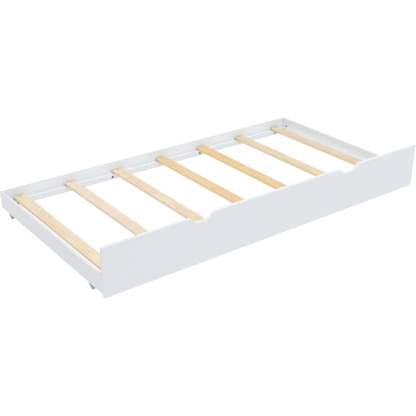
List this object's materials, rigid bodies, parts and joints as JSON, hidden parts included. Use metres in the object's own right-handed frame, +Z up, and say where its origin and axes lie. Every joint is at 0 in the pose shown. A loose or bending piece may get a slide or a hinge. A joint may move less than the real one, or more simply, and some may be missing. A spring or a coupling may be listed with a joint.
{
  "type": "trundle bed",
  "caption": "Low white trundle bed frame with a tall scooped front panel, low rails, pine slats and small rigid casters.",
  "frame": {"origin": "on the floor, under the middle of the bed's footprint", "axes": "+X along the bed to the right as seen from the front, +Y from the front panel to the back rail, +Z up"},
  "size_m": [1.95, 1.06, 0.252],
  "materials": {
    "white_paint": "satin white paint on solid wood board",
    "pine": "planed bare pine",
    "beech": "bare beech",
    "zinc_steel": "bright zinc plate",
    "slat_screw_steel": "dulled yellow zinc",
    "black_steel": "black oxide",
    "cam_metal": "grey die cast",
    "black_wheel": "moulded matte black"
  },
  "bodies": {
    "frame": {"front_panel": "white_paint", "back_rail": "white_paint", "left_side_rail": "white_paint", "right_side_rail": "white_paint", "front_ledger": "white_paint", "back_ledger": "white_paint", "slat_1": "pine", "slat_2": "pine", "slat_3": "pine", "slat_4": "pine", "slat_5": "pine", "slat_6": "pine", "slat_7": "pine", "caster_bracket_front_left": "zinc_steel", "caster_bracket_front_right": "zinc_steel", "caster_bracket_rear_left": "zinc_steel", "caster_bracket_rear_right": "zinc_steel", "caster_axle_front_left": "zinc_steel", "caster_axle_front_right": "zinc_steel", "caster_axle_rear_left": "zinc_steel", "caster_axle_rear_right": "zinc_steel", "slat_screws": "slat_screw_steel", "ledger_screws": "black_steel", "caster_screws": "zinc_steel", "cam_locks": "cam_metal", "cam_bolts": "zinc_steel", "dowels": "beech"},
    "wheel_front_left": {"caster_wheel_front_left": "black_wheel"},
    "wheel_front_right": {"caster_wheel_front_right": "black_wheel"},
    "wheel_rear_left": {"caster_wheel_rear_left": "black_wheel"},
    "wheel_rear_right": {"caster_wheel_rear_right": "black_wheel"}
  },
  "joints": [
    {"name": "wheel_front_left_spin", "type": "hinge", "parent": "frame", "child": "wheel_front_left", "pos_m": [-0.9675, -0.415, 0.011], "axis": [1, 0, 0], "continuous": true},
    {"name": "wheel_front_right_spin", "type": "hinge", "parent": "frame", "child": "wheel_front_right", "pos_m": [0.9675, -0.415, 0.011], "axis": [1, 0, 0], "continuous": true},
    {"name": "wheel_rear_left_spin", "type": "hinge", "parent": "frame", "child": "wheel_rear_left", "pos_m": [-0.9675, 0.418, 0.011], "axis": [1, 0, 0], "continuous": true},
    {"name": "wheel_rear_right_spin", "type": "hinge", "parent": "frame", "child": "wheel_rear_right", "pos_m": [0.9675, 0.418, 0.011], "axis": [1, 0, 0], "continuous": true}
  ]
}
